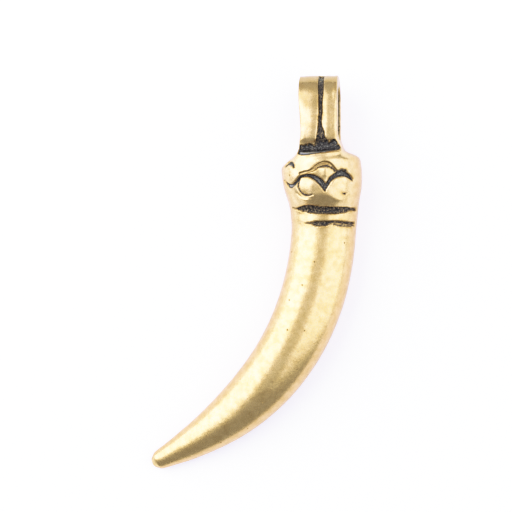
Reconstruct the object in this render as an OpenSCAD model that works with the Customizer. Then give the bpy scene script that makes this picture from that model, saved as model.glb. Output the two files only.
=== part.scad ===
// A cast brass tusk pendant: a curved tusk, a bulging head with a scalloped ornament and two
// incised bands, and a grooved bail, all one casting. It lies on its back: +Z is the front,
// +Y runs up to the bail and +X is to the viewer's right.

/* [Tusk] */
// How far the tip lies below the foot of the bail
drop = 45.1; // [43:0.1:47]
// How far the tip swings to the left of the foot of the bail
swing = 24.4; // [22:0.1:26]
// Lean of the spine at the foot of the bail, in degrees to the right
root_lean = 9; // [6:1:12]
// Lean of the spine at the tip, in degrees to the left
tip_lean = 62; // [58:1:66]
// Reach of the spine's upper handle, which sets how long the tusk stays straight
root_reach = 30.5; // [28:0.5:33]
// Reach of the spine's lower handle
tip_reach = 11; // [9:0.5:14]
// Width of the tusk under the bands
tusk_w = 9.3; // [8.4:0.1:9.8]
// Width of the tusk where its tip starts to round off
tip_w = 3; // [2:0.1:3.4]
// Length over which the tip rounds off
tip_round = 1.5; // [1:0.1:2]

/* [Head] */
// Width of the head at its bulge
head_w = 11.3; // [10.6:0.1:12]
// Thickness of the head and tusk, as a share of their width
flatness = 0.9; // [0.85:0.01:1]
// Squareness of the front, where 2 is an ellipse
front_square = 2.15; // [2:0.05:2.6]
// Squareness of the back, which it lies on
back_square = 2.6; // [2:0.05:3]

/* [Bail] */
// Width of the bail's strap
bail_w = 5.4; // [4.8:0.1:5.8]
// Thickness of the strap
bail_t = 1.65; // [1.4:0.05:1.9]
// Clear width of the eye, front to back
eye_w = 4.3; // [4.2:0.1:4.5]
// Clear height of the eye at its middle
eye_h = 7.4; // [6:0.1:8]
// Width of the groove between the strap's two ribs
rib_gap = 0.7; // [0.5:0.05:0.9]
// How far the groove lies to the right of the strap's middle
rib_gap_off = 0.35; // [0:0.05:0.5]
// Depth of the groove
rib_gap_d = 0.5; // [0.3:0.05:0.7]
// Rounding of the ribs' edges
rib_round = 0.5; // [0.3:0.05:0.6]
// How far the strap's front edges lie behind the crowns of its ribs
crown = 0.3; // [0.1:0.05:0.4]
// Radius of the undercut that parts the front of the bail from the head
undercut_r = 0.65; // [0.5:0.05:0.8]

/* [Relief] */
// Pitch of the lobes round the head
lobe_pitch = 4.85; // [4.6:0.05:5.1]
// Radius of the lobes
lobe_r = 1.35; // [1.2:0.05:1.45]
// Depth of the main grooves and of the two bands
groove_d = 0.45; // [0.2:0.05:0.55]
// Depth of the fine lines and of the sunk field over the drop
line_d = 0.2; // [0.1:0.05:0.3]

/* [Hidden] */
brass = "#c9a45c";

// The spine, seen from the front: one cubic curve from the foot of the bail to the tip.
function turned(angle, reach) = reach * [sin(angle), -cos(angle)];
root = [0, 0];
tip = [-swing, -drop];
root_handle = root + turned(root_lean, root_reach);
tip_handle = tip - turned(-tip_lean, tip_reach);
function along_curve(t) =
    pow(1 - t, 3) * root + 3 * pow(1 - t, 2) * t * root_handle
    + 3 * (1 - t) * t * t * tip_handle + pow(t, 3) * tip;
function curve_slope(t) =
    pow(1 - t, 2) * (root_handle - root) + 2 * (1 - t) * t * (tip_handle - root_handle)
    + t * t * (tip - tip_handle);

// Lengths along the curve, so that a station is in millimetres below the foot of the bail.
curve_steps = 120;
function measured(i = 0, sum = 0) =
    i > curve_steps ? [] :
    let (here = i / curve_steps, before = max(0, i - 1) / curve_steps,
        reached = sum + norm(along_curve(here) - along_curve(before)))
    concat([[reached, here]], measured(i + 1, reached));
lengths = measured();
spine_length = lengths[curve_steps][0];
function heading(s) = let (v = curve_slope(lookup(s, lengths))) v / norm(v);
function spine_at(s) = s <= 0 ? root + s * heading(0) : along_curve(lookup(s, lengths));
function to_right(s) = let (h = heading(s)) [-h[1], h[0]];

// Sections across the spine.
STATION = 0;
HALF_W = 1;     // half the width
HALF_D = 2;     // half the thickness, front to back
SQUARE = 3;     // squareness over the casting's own
head = head_w / 2;
head_d = head * flatness;
neck = bail_w / 2;
neck_d = eye_w / 2 + bail_t;
neck_top = -2.2;
bulge_at = 2.6;     // station of the head's bulge
function width_row(s, half, square = 0) = [s, half, half * flatness, square];
function tapered(share) = tip_w / 2 + share * (tusk_w - tip_w) / 2;
sections = [
    [neck_top, neck - 0.1, neck_d - 0.15, 3.5],
    [-0.7, neck - 0.05, neck_d - 0.1, 3],
    [0, neck + 0.3, neck_d + 0.2, 2],
    [0.5, neck + 0.9, head_d * 0.91, 0.9],
    [1, head * 0.8, head_d * 0.95, 0.4],
    [1.7, head * 0.94, head_d * 0.985, 0.2],
    width_row(bulge_at, head, 0.15),
    width_row(4.5, head * 0.985, 0.15),
    width_row(6.4, head * 0.93, 0.1),
    width_row(8.2, head * 0.87, 0.05),
    width_row(12, tapered(1)),
    width_row(18, tapered(1)),
    width_row(24, tapered(0.98)),
    width_row(30, tapered(0.92)),
    width_row(36, tapered(0.82)),
    width_row(42, tapered(0.63)),
    width_row(47, tapered(0.41)),
    width_row(51, tapered(0.21)),
    width_row(spine_length - tip_round, tapered(0)),
    width_row(spine_length, tapered(-0.12)),
];

// A column of that table at any station, read along a smooth curve through its rows.
function row_above(s, i = 0) =
    i + 2 >= len(sections) || sections[i + 1][STATION] > s ? i : row_above(s, i + 1);
function slope_at(i, column) =
    let (a = max(i - 1, 0), b = min(i + 1, len(sections) - 1))
    (sections[b][column] - sections[a][column]) / (sections[b][STATION] - sections[a][STATION]);
function read(s, column) =
    let (
        i = row_above(s),
        span = sections[i + 1][STATION] - sections[i][STATION],
        t = (s - sections[i][STATION]) / span,
        rise = t * t * (3 - 2 * t)
    )
    (1 - rise) * sections[i][column] + rise * sections[i + 1][column]
    + span * t * (1 - t) * ((1 - t) * slope_at(i, column) - t * slope_at(i + 1, column));
function closing(s) =
    let (q = max(0, (s - spine_length + tip_round) / tip_round)) sqrt(max(0, 1 - q * q));
function half_w(s) = read(s, HALF_W) * closing(s);
function half_d(s) = read(s, HALF_D) * closing(s);
// The back of the head and tusk lies on the floor, and the neck is level with the head.
function middle(s) = s < bulge_at ? head_d : read(s, HALF_D);

// The relief is cut in strokes. A stroke is a row of points with the half width at each.
ROUND = 0;      // round the head from its front line
DOWN = 1;       // down the spine
HALF = 2;       // half the stroke's width
WIDE = 0.26;
FINE = 0.15;
function stroke(half, points) = [for (p = points) [p[ROUND], p[DOWN], half]];
function arc(half, centre, radius, from, to, steps = 8) = stroke(half, [
    for (i = [0:steps])
    let (a = from + (to - from) * i / steps)
    centre + radius * [cos(a), -sin(a)]
]);
left_lobe = [-1.6, 5.25];
right_lobe = left_lobe + [lobe_pitch, 0.3];
left_groove_r = lobe_r + 0.2;
right_groove_r = lobe_r + 0.6;
valley = [[0.57, 5.6, WIDE], [0.57, 5.9, FINE]];
side = [-4.5, 3.3];     // middle of the drop that wraps round the left side
main_grooves = [
    concat(arc(WIDE, left_lobe, left_groove_r, 140, 30), valley),
    concat(
        arc(1.6 * WIDE, right_lobe, right_groove_r, 35, 90),
        arc(WIDE, right_lobe, right_groove_r, 95, 148),
        valley
    ),
    stroke(1.4 * WIDE, [for (p = [[-2, 0.6], [-1, 1], [0.1, 1.6], [1, 1.1], [2.1, 0.35]]) side + p]),
    stroke(WIDE, [for (p = [[-1.4, -1.4], [-0.3, -2.1], [0.5, -2], [1.2, -1.2]]) side + p]),
];
sunk_field = [[-2.2, 3.3], [-1, 3.3], [-0.4, 2.95], [0.2, 2.55], [0.9, 2.4], [1.6, 2.8], [2.1, 3.5]];
fine_lines = [
    arc(FINE, left_lobe, lobe_r + 0.1, 150, 290),
    stroke(FINE, [[2.7, 6.55], [3.4, 6.45], [4.1, 6.3]]),
    stroke(0.38, sunk_field),
];
bands = [
    [[-4.7, 8.1, 0.08], [-2.7, 8.4, 0.34], [-0.4, 8.6, 0.52], [1.8, 8.75, 0.43], [6, 8.5, 0.23]],
    [[-2.1, 10.55, 0.05], [-0.6, 10.6, 0.38], [0.9, 10.45, 0.3], [5.3, 10.4, 0.3]],
];
// A stroke is deepest along its middle and runs out a little past its half width.
run_out = 1.5;
function cut_by(p, a, b, depth) =
    let (
        run = [b[ROUND] - a[ROUND], b[DOWN] - a[DOWN]],
        from_a = [p[ROUND] - a[ROUND], p[DOWN] - a[DOWN]],
        t = max(0, min(1, from_a * run / (run * run))),
        share = norm(from_a - t * run) / (a[HALF] + t * (b[HALF] - a[HALF]))
    )
    depth * max(0, 1 - pow(share / run_out, 2));
function deepest(p, strokes, depth) =
    max([for (k = strokes) for (i = [1:len(k) - 1]) cut_by(p, k[i - 1], k[i], depth)]);
relief_top = 0.9;
relief_foot = 11.4;
relief_left = -8.5;
relief_right = 7;
function relief(p) =
    p[DOWN] < relief_top || p[DOWN] > relief_foot || p[ROUND] < relief_left || p[ROUND] > relief_right ? 0 :
    max(deepest(p, main_grooves, groove_d), deepest(p, bands, groove_d), deepest(p, fine_lines, line_d));

// A point of the skin. Angle 0 is the front line and 90 is the viewer's right.
function power(v, e) = sign(v) * pow(abs(v), e);
function skin_point(s, angle) =
    let (
        w = half_w(s),
        d = half_d(s),
        own = cos(angle) > 0 ? front_square : back_square,
        e = 2 / (own + read(s, SQUARE)),
        out = [sin(angle) / w, cos(angle) / d],
        cut = relief([angle * PI / 180 * (w + d) / 2, s]) / norm(out),
        at = spine_at(s) + (w * power(sin(angle), e) - cut * out[0]) * to_right(s)
    )
    [at[0], at[1], middle(s) + d * power(cos(angle), e) - cut * out[1]];

// Columns are close over the front and the left side, where the relief is. The tusk below
// the bands has every second one of them.
close_step = 2.5;
wide_step = 10;
angles = concat([for (a = [-100:close_step:80]) a], [for (a = [90:wide_step:250]) a]);
tusk_angles = [for (i = [0:2:len(angles) - 1]) angles[i]];
head_stations = concat([neck_top, -1.5, -0.7, -0.35, 0, 0.25, 0.5, 0.75], [for (s = [1:0.28:11.5]) s]);
tusk_stations = concat(
    [for (s = [13:2:51]) s],
    [for (q = [0, 0.3, 0.55, 0.75, 0.88, 0.96, 0.99]) spine_length - tip_round * (1 - q)]
);

skin = concat(
    [for (s = head_stations) for (a = angles) skin_point(s, a)],
    [for (s = tusk_stations) for (a = tusk_angles) skin_point(s, a)]
);

// Faces between two rings of n points, whose first points have numbers a and b.
function wall(n, a, b) = [
    for (j = [0:n - 1])
    let (k = (j + 1) % n)
    each [[a + j, b + k, b + j], [a + j, a + k, b + k]]
];
// Faces between a ring of 2 n points and a ring of n points.
function halving_wall(n, a, b) = [
    for (j = [0:n - 1])
    let (k = (j + 1) % n, own = a + 2 * j, next = a + 2 * k)
    each [[own, own + 1, b + j], [own + 1, b + k, b + j], [own + 1, next, b + k]]
];

module casting() {
    n = len(angles);
    m = len(tusk_angles);
    tusk_start = n * len(head_stations);
    tusk_end = tusk_start + m * (len(tusk_stations) - 1);
    end = spine_at(spine_length);
    faces = concat(
        [[for (j = [n - 1:-1:0]) j]],
        [for (i = [0:len(head_stations) - 2]) each wall(n, i * n, (i + 1) * n)],
        halving_wall(m, tusk_start - n, tusk_start),
        [for (i = [0:len(tusk_stations) - 2]) each wall(m, tusk_start + i * m, tusk_start + (i + 1) * m)],
        [for (j = [0:m - 1]) [tusk_end + j, tusk_end + (j + 1) % m, tusk_end + m]]
    );
    polyhedron(concat(skin, [[end[0], end[1], middle(spine_length)]]), faces, convexity = 6);
}

// The bail. Its cross-section runs from the eye's wall outwards, and across from right to left.
inner = eye_w / 2;
outer = inner + bail_t;
floor_y = 1.4;
bail_x = 0.1;
arch_y = floor_y + eye_h - inner;
leg_foot = 0.3;
corner_steps = 4;
function corner(x, y, from) = [
    for (i = [0:corner_steps])
    let (a = from + 90 * i / corner_steps)
    [x + rib_round * cos(a), y + rib_round * sin(a)]
];
function rib(right, left, right_drop = 0, left_drop = 0) = concat(
    corner(outer - right_drop - rib_round, right + rib_round, -90),
    corner(outer - left_drop - rib_round, left - rib_round, 0)
);
// The front leg has two ribs with a groove between them, and the back leg is one plain rib.
module grooved_strap() {
    groove_right = -rib_gap_off - rib_gap / 2;
    groove_left = -rib_gap_off + rib_gap / 2;
    polygon(concat(
        [[inner, -neck]],
        rib(-neck, groove_right, right_drop = crown),
        [[outer - rib_gap_d, groove_right], [outer - rib_gap_d, groove_left]],
        rib(groove_left, neck, left_drop = crown),
        [[inner, neck]]
    ));
}
module plain_strap() {
    polygon(concat([[inner, -neck]], rib(-neck, neck), [[inner, neck]]));
}
module leg() {
    rotate([90, 0, 0]) linear_extrude(arch_y - leg_foot) children();
}
module bail() {
    translate([bail_x, arch_y, head_d]) rotate([0, -90, 0]) {
        rotate_extrude(angle = 90, $fn = 64) grooved_strap();
        rotate(90) rotate_extrude(angle = 90, $fn = 64) plain_strap();
        leg() grooved_strap();
        mirror([1, 0, 0]) leg() plain_strap();
    }
}
// The eye's floor is hollowed a little between the legs.
module trough() {
    trough_r = inner + 0.45;
    translate([bail_x, floor_y + trough_r, head_d]) rotate([0, 90, 0])
        cylinder(r = trough_r, h = 2 * bail_w, center = true, $fn = 64);
}
module undercut() {
    translate([bail_x, 0.35, head_d + outer + undercut_r * 0.35]) rotate([0, 0, root_lean * 0.6])
        rotate([0, 90, 0]) cylinder(r = undercut_r, h = bail_w + 0.8, center = true, $fn = 32);
}

// The origin is under the middle of the whole casting.
far_left = min([for (p = skin) p[0]]);
far_right = max([for (p = skin) p[0]]);
lowest = min([for (p = skin) p[1]]);
highest = arch_y + outer;
centring = -[far_left + far_right, lowest + highest] / 2;

module pendant() {
    color(brass) translate([centring[0], centring[1], 0]) difference() {
        union() {
            difference() {
                casting();
                trough();
            }
            bail();
        }
        undercut();
    }
}

pendant();
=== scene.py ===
# A cast brass tusk pendant that lies on its back on a white table.
import math

import bpy
import numpy as np
from mathutils import Matrix, Vector


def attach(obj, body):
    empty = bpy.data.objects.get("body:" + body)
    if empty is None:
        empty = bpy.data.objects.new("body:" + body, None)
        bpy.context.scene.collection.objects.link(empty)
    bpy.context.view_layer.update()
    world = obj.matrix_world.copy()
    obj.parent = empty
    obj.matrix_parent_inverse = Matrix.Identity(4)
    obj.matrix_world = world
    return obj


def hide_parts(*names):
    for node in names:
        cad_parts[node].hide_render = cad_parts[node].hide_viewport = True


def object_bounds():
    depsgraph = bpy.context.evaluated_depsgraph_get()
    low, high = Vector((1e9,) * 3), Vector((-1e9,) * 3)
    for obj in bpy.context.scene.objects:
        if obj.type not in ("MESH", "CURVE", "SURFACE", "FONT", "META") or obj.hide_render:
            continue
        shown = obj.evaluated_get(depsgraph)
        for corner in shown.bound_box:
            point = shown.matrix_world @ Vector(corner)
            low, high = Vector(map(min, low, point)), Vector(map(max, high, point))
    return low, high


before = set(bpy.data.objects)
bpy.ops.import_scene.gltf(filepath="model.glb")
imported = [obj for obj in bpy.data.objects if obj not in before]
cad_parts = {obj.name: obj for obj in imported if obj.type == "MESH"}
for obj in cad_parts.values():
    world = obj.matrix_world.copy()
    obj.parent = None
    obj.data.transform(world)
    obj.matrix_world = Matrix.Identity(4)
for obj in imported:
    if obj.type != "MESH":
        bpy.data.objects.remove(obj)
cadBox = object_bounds()
mm = 0.001
print("frame loaded, the casting is %.1f mm long" % ((cadBox[1].y - cadBox[0].y) / mm))

# the foot of the bail lies so far from the left side and from the top of the casting's box
footFromLeft = 24.5
footFromTop = 10.45
foot = Vector((cadBox[0].x + footFromLeft * mm, cadBox[1].y - footFromTop * mm, 0))


def addNode(tree, kind, inputs=(), **settings):
    # inputs are named in a dictionary, or stand in a row in the order of the sockets in use
    node = tree.nodes.new(kind)
    for name, value in settings.items():
        setattr(node, name, value)
    inUse = [socket for socket in node.inputs if socket.enabled]
    if isinstance(inputs, dict):
        wanted = [(next(s for s in inUse if s.name == name), source) for name, source in inputs.items()]
    else:
        wanted = zip(inUse, inputs)
    for socket, source in wanted:
        if isinstance(source, bpy.types.Node):
            source = next(output for output in source.outputs if output.enabled)
        if isinstance(source, bpy.types.NodeSocket):
            tree.links.new(source, socket)
        else:
            socket.default_value = source
    return node


def newTree(name, inputs, outputs=None):
    # inputs and outputs are {label: socket kind}, and the tree comes back with its input node
    tree = bpy.data.node_groups.new(name, "GeometryNodeTree")
    for label, kind in inputs.items():
        tree.interface.new_socket(label, in_out="INPUT", socket_type="NodeSocket" + kind)
    for label, kind in (outputs or {"Geometry": "Geometry"}).items():
        tree.interface.new_socket(label, in_out="OUTPUT", socket_type="NodeSocket" + kind)
    return tree, addNode(tree, "NodeGroupInput")


def runTree(piece, tree, values):
    # the tree's result becomes the piece's own plain mesh
    modifier = piece.modifiers.new(tree.name, "NODES")
    modifier.node_group = tree
    for item in tree.interface.items_tree:
        if item.in_out == "INPUT" and item.name in values:
            modifier[item.identifier] = values[item.name]
    bpy.context.view_layer.update()
    graph = bpy.context.evaluated_depsgraph_get()
    mesh = bpy.data.meshes.new_from_object(
        piece.evaluated_get(graph), preserve_all_data_layers=True, depsgraph=graph)
    piece.modifiers.remove(modifier)
    old = piece.data
    piece.data = mesh
    bpy.data.meshes.remove(old)
    mesh.name = piece.name


def drawCurve(curve, rows, end):
    # puts a table's rows on a curve, which goes from 0 to 1
    while len(curve.points) < len(rows):
        curve.points.new(0.5, 0.5)
    for point, (at, height) in zip(curve.points, rows.items()):
        point.location = (at / end, height)
        point.handle_type = "AUTO"


def newPiece(name, points, edges=(), faces=()):
    mesh = bpy.data.meshes.new(name)
    mesh.from_pydata([tuple(map(float, point)) for point in points], list(edges), list(faces))
    piece = bpy.data.objects.new(name, mesh)
    bpy.context.scene.collection.objects.link(piece)
    return piece


def storeValues(piece, name, values):
    values = np.asarray(values, np.float32)
    kind, field = ("FLOAT", "value") if values.ndim == 1 else ("FLOAT_VECTOR", "vector")
    piece.data.attributes.new(name, kind, "POINT").data.foreach_set(field, values.ravel())


# The casting is modelled in millimetres from the foot of the bail, and set in the frame last.
# A station is a length down the spine from there.
tusk = {
    "drop": 45.2,  # the tip, below the foot of the bail
    "swing": 24.7,  # and to its left
    "rootLean": 8.6,  # degrees that the spine leans at the foot of the bail, and at the tip
    "tipLean": 63.5,
    "rootReach": 30.5,  # how far the spine's handles pull it there
    "tipReach": 11,
    "spineSteps": 200,
    "headWidth": 11.4,
    "tuskWidth": 9.22,
    "tipWidth": 2.25,
    "tipRound": 1.5,  # the length over which the tip closes
    "flatness": 0.9,  # depth over width
    "bulgeAt": 2.6,  # the station where the head is widest
    "frontSquare": 2.15,  # 2 is an ellipse
    "backSquare": 2.6,
    # station: share of the way from the tip's width to the tusk's
    "taper": {0: 1, 18: 1, 24: 0.982, 30: 0.929, 36: 0.839, 42: 0.67, 47: 0.465, 51: 0.28, 54.3: 0.105,
              57: 0},
    # station: share of the way from the tusk's width to the head's
    "swell": {0: 0.2, 1: 0.5, 1.7: 0.77, 2.6: 1, 4.5: 0.915, 6.4: 0.605, 8.2: 0.27, 10: 0.1, 12: 0, 57: 0},
    # station: how far the ornamented front stands out over that section, and how much more beside its middle
    "brow": {-0.5: 0, 0.05: 0.12, 0.6: 0.3, 1.15: 0.25, 1.8: 0.1, 2.6: 0, 4.2: 0.04, 5: 0.19, 5.8: 0.4,
             6.6: 0.6, 7.4: 0.42, 8.2: 0.1, 9: -0.06, 9.9: 0.01, 10.8: 0.02, 12: 0},
    "browBeside": {4.2: 0, 5: 0.03, 5.8: 0.08, 6.6: 0.18, 7.4: 0.53, 8.2: 0.2, 9: 0.01, 9.9: 0},
    "browTurn": (0.35, 0.42),  # sine of the angle where that is full, on the left and on the right
    # station: how much higher the front stands on its left than on its right
    "roll": {13: 0, 17: 0.1, 20: 0.26, 24: 0.34, 31: 0.3, 36: 0.16, 42: 0},
    "tableLength": 57,  # the last station of the taper and the swell
    "rings": [1.8, 2.6, 3.4, 4.2, 5, 5.8, 6.6, 7.4, 8.2, 9, 9.9, 10.8,
              12, 14.5, 18, 22, 26.5, 31, 35.5, 40, 44, 47.5, 50.3, 52.4],
    "tipRings": [0.02, 0.5, 0.8],  # shares of the tip's rounding
    # angles of the columns from the front corner round to the back one
    "sideAngles": [35, 43, 52, 61.5, 71, 81, 91.5, 103, 116, 130, 145],
}
bail = {
    "width": 5.5,
    "offset": 0.1,  # its middle lies a little to the right of the foot
    "thickness": 1.65,
    "eyeWidth": 4.3,  # from front to back
    "archAt": 6.8,  # height of the arch's middle over the foot
    "archSquare": 2.1,
    # the ribs' section: places across the front, and how far the surface lies under the ribs' crowns
    "across": [-2.72, -2.38, -1.65, -0.85, 0.02, 0.68, 1.4, 2.15, 2.68],
    "crown": [0.52, 0.23, 0.1, 0.02, 0.06, 0.13, 0.05, 0.1, 0.25],
    "crownLeft": {5: 1, 6.8: 0.7, 8.5: 0.35},  # height: the share of that which is left
    "draft": 0.02,  # how much farther out each side is at the back than at the front
    # height: how much narrower the strap is on its left
    "waist": {-0.6: -0.1, 0: 0.12, 1: 0.27, 3: 0.27, 4.5: 0.2, 5.5: 0.13, 7.2: 0},
    # places through the casting, front to back, and the height there of the neck's top
    "through": [3.8, 2.95, 2.5, 2.15, 1.1, 0, -1.1, -2.15, -2.5, -2.95, -3.8],
    "neckTop": [1.9, 2.1, 2.35, 2.54, 1.63, 1.4, 1.63, 2.54, 2.35, 2.1, 1.9],
    "legLayers": 3,  # layers of the cage through one leg
    "legRings": [3.5, 5.1],
    "archSteps": 6,
    # station: how far the front stands out of the strap's own front, at its foot and under it
    "footFront": {-3.5: 0, -1.9: -0.18, -1.15: -0.42, -0.5: -0.6, 0.05: 0.1, 0.6: 1.05, 1.15: 1.15},
    "footShare": {0: 1, 1: 0.6, 2: 0.3},  # layer, from the front: how much of that it takes
    "footRound": 0.25,  # how much less of it the front takes at its sides
    # station: how far the neck has turned from the strap's shape to the head's
    "neckRings": {-1.15: 0, -0.5: 0.02, 0.05: 0.14, 0.6: 0.42, 1.15: 0.8},
    # station: how much farther the neck's right side flares out
    "flare": {-1.15: 0.22, -0.5: 0.45, 0.05: 0.6, 0.6: 0.65, 1.15: 0.4},
    "cornerFlare": 0.4,  # share of that at its corners
    # how black the inside of the eye is painted, both its patina and the shade that falls in it, at the
    # strap's edges, and over the arch up to this angle
    "eyeBlack": 1.0,
    "edgeBlack": 0.82,
    "archBlack": 0.7,
    "archBlackUpTo": 145,
}


def readTable(table, at):
    # between two rows the value goes evenly from one to the next
    return float(np.interp(at, list(table), list(table.values())))


def handleAt(end, lean, reach):
    return end + reach * np.array([math.sin(math.radians(lean)), -math.cos(math.radians(lean)), 0])


# the number inputs of the tree that sweeps the rings, and their settings
sweepSizes = {
    "Head Width": "headWidth", "Tusk Width": "tuskWidth", "Tip Width": "tipWidth", "Flatness": "flatness",
    "Front Squareness": "frontSquare", "Back Squareness": "backSquare", "Bulge At": "bulgeAt"}
spineRoot = np.zeros(3)
spineTip = np.array([-tusk["swing"], -tusk["drop"], 0.0])
rootHandle = handleAt(spineRoot, tusk["rootLean"], tusk["rootReach"])
tipHandle = handleAt(spineTip, -tusk["tipLean"], -tusk["tipReach"])


def spineLength(steps=400):
    t = np.linspace(0, 1, steps + 1)[:, None]
    path = ((1 - t) ** 3 * spineRoot + 3 * (1 - t) ** 2 * t * rootHandle
            + 3 * (1 - t) * t ** 2 * tipHandle + t ** 3 * spineTip)
    return float(np.linalg.norm(np.diff(path, axis=0), axis=1).sum())


def sweepTree():
    # lays a cage's rings round the spine: each point gives its station, angle and share of the width
    inputs = {"Geometry": "Geometry", "Root": "Vector", "Root Handle": "Vector", "Tip Handle": "Vector",
              "Tip": "Vector"}
    inputs.update({label: "Float" for label in sweepSizes})
    tree, given = newTree("Sweep Round Spine", inputs)
    size = given.outputs

    station, angle, share, blend, brow = [
        addNode(tree, "GeometryNodeInputNamedAttribute", (name,), data_type="FLOAT")
        for name in ("station", "angle", "share", "blend", "brow")]
    alongTable = addNode(tree, "ShaderNodeMath", (station, tusk["tableLength"]), operation="DIVIDE")
    width = size["Tip Width"]
    for rows, narrow, wide in ((tusk["taper"], "Tip Width", "Tusk Width"),
                               (tusk["swell"], "Tusk Width", "Head Width")):
        curve = addNode(tree, "ShaderNodeFloatCurve", {"Value": alongTable})
        drawCurve(curve.mapping.curves[0], rows, tusk["tableLength"])
        curve.mapping.update()
        more = addNode(tree, "ShaderNodeMath", (size[wide], size[narrow]), operation="SUBTRACT")
        width = addNode(tree, "ShaderNodeMath", (curve, more, width), operation="MULTIPLY_ADD")

    spine = addNode(tree, "GeometryNodeCurvePrimitiveBezierSegment", {
        "Resolution": tusk["spineSteps"], "Start": size["Root"], "Start Handle": size["Root Handle"],
        "End Handle": size["Tip Handle"], "End": size["Tip"]}, mode="POSITION")
    here = addNode(tree, "GeometryNodeSampleCurve", {"Curves": spine, "Length": station}, mode="LENGTH")
    toRight = addNode(tree, "ShaderNodeVectorMath", ((0, 0, 1), here.outputs["Tangent"]),
                      operation="CROSS_PRODUCT")
    halfWidth = addNode(tree, "ShaderNodeMath", (width, 0.5), operation="MULTIPLY")
    halfDepth = addNode(tree, "ShaderNodeMath", (halfWidth, size["Flatness"]), operation="MULTIPLY")
    # the back of the tusk lies on the table, and the neck's middle is level with the head's
    halfHead = addNode(tree, "ShaderNodeMath", (size["Head Width"], 0.5), operation="MULTIPLY")
    headDepth = addNode(tree, "ShaderNodeMath", (halfHead, size["Flatness"]), operation="MULTIPLY")
    overBulge = addNode(tree, "ShaderNodeMath", (station, size["Bulge At"]), operation="LESS_THAN")
    middle = addNode(tree, "ShaderNodeMix", (overBulge, halfDepth, headDepth))

    # the rings are superellipses, squarer at the back than at the front
    sine = addNode(tree, "ShaderNodeMath", (angle,), operation="SINE")
    cosine = addNode(tree, "ShaderNodeMath", (angle,), operation="COSINE")
    atFront = addNode(tree, "ShaderNodeMath", (cosine, 0), operation="GREATER_THAN")
    square = addNode(tree, "ShaderNodeMix", (atFront, size["Back Squareness"], size["Front Squareness"]))
    power = addNode(tree, "ShaderNodeMath", (2, square), operation="DIVIDE")
    reaches = []
    for turned, half in ((sine, halfWidth), (cosine, halfDepth)):
        plain = addNode(tree, "ShaderNodeMath", (turned,), operation="ABSOLUTE")
        raised = addNode(tree, "ShaderNodeMath", (plain, power), operation="POWER")
        side = addNode(tree, "ShaderNodeMath", (turned,), operation="SIGN")
        signed = addNode(tree, "ShaderNodeMath", (raised, side), operation="MULTIPLY")
        whole = addNode(tree, "ShaderNodeMath", (signed, half), operation="MULTIPLY")
        reaches.append(addNode(tree, "ShaderNodeMath", (whole, share), operation="MULTIPLY"))
    sideways = addNode(tree, "ShaderNodeVectorMath", (toRight, reaches[0]), operation="SCALE")
    onSpine = addNode(tree, "ShaderNodeVectorMath", (here.outputs["Position"], sideways), operation="ADD")
    rise = addNode(tree, "ShaderNodeMath", (middle, reaches[1]), operation="ADD")
    browed = addNode(tree, "ShaderNodeMath", (rise, brow), operation="ADD")
    height = addNode(tree, "ShaderNodeCombineXYZ", {"Z": browed})
    swept = addNode(tree, "ShaderNodeVectorMath", (onSpine, height), operation="ADD")
    placed = addNode(tree, "ShaderNodeMix", (blend, addNode(tree, "GeometryNodeInputPosition"), swept),
                     data_type="VECTOR")
    laid = addNode(tree, "GeometryNodeSetPosition", {"Geometry": size["Geometry"], "Position": placed})

    # the skin unrolled: x is the way round from the front line, y the way down the spine
    bothHalves = addNode(tree, "ShaderNodeMath", (halfWidth, halfDepth), operation="ADD")
    meanRadius = addNode(tree, "ShaderNodeMath", (bothHalves, 0.5), operation="MULTIPLY")
    wayRound = addNode(tree, "ShaderNodeMath", (angle, meanRadius), operation="MULTIPLY")
    sweptSkin = addNode(tree, "ShaderNodeCombineXYZ", {"X": wayRound, "Y": station})
    strapSkin = addNode(tree, "GeometryNodeInputNamedAttribute", ("unrolled",), data_type="FLOAT_VECTOR")
    unrolled = addNode(tree, "ShaderNodeMix", (blend, strapSkin, sweptSkin), data_type="VECTOR")
    marked = addNode(tree, "GeometryNodeStoreNamedAttribute", {
        "Geometry": laid, "Name": "unrolled", "Value": unrolled}, data_type="FLOAT_VECTOR", domain="POINT")
    addNode(tree, "NodeGroupOutput", (marked,))
    return tree


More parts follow.
